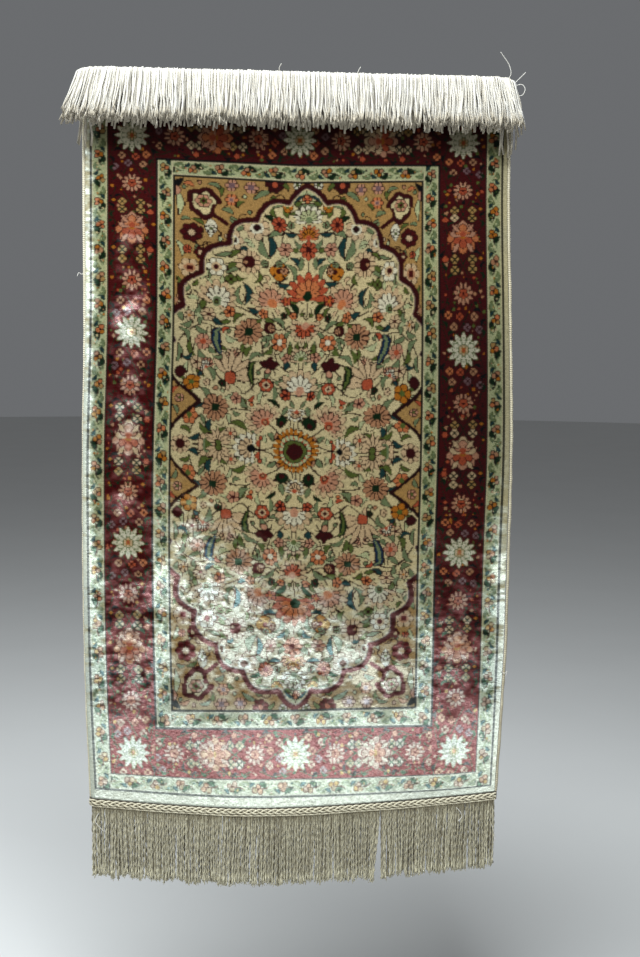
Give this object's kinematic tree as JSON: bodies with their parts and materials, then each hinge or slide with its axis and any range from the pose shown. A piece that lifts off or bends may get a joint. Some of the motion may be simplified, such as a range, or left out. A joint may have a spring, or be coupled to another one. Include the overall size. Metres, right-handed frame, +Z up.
{
  "type": "hanging silk rug with a folded top fringe",
  "caption": "Small hand-knotted silk rug with a floral field, bands of border, overcast edges, and fringes at both ends, hung by its top edge.",
  "frame": {"origin": "middle of the rug's top edge, on the upright plane that the rug hangs against", "axes": "+X to the right as one faces the pile, +Y away from the viewer into the plane behind, +Z up along the rug's length"},
  "size_m": [0.6257, 0.0282, 1.1742],
  "materials": {
    "silk_pile": "short cut silk pile with a directional sheen, in red, cream, coral, gold and green",
    "selvedge_yarn": "cream silk yarn wrapped round the edge, soft sheen",
    "fringe_yarn": "loose twisted undyed yarn, soft sheen"
  },
  "bodies": {
    "root": {"rug_cloth": "silk_pile", "selvedge_left": "selvedge_yarn", "selvedge_right": "selvedge_yarn", "fringe_top": "fringe_yarn", "fringe_bottom": "fringe_yarn"}
  },
  "joints": []
}
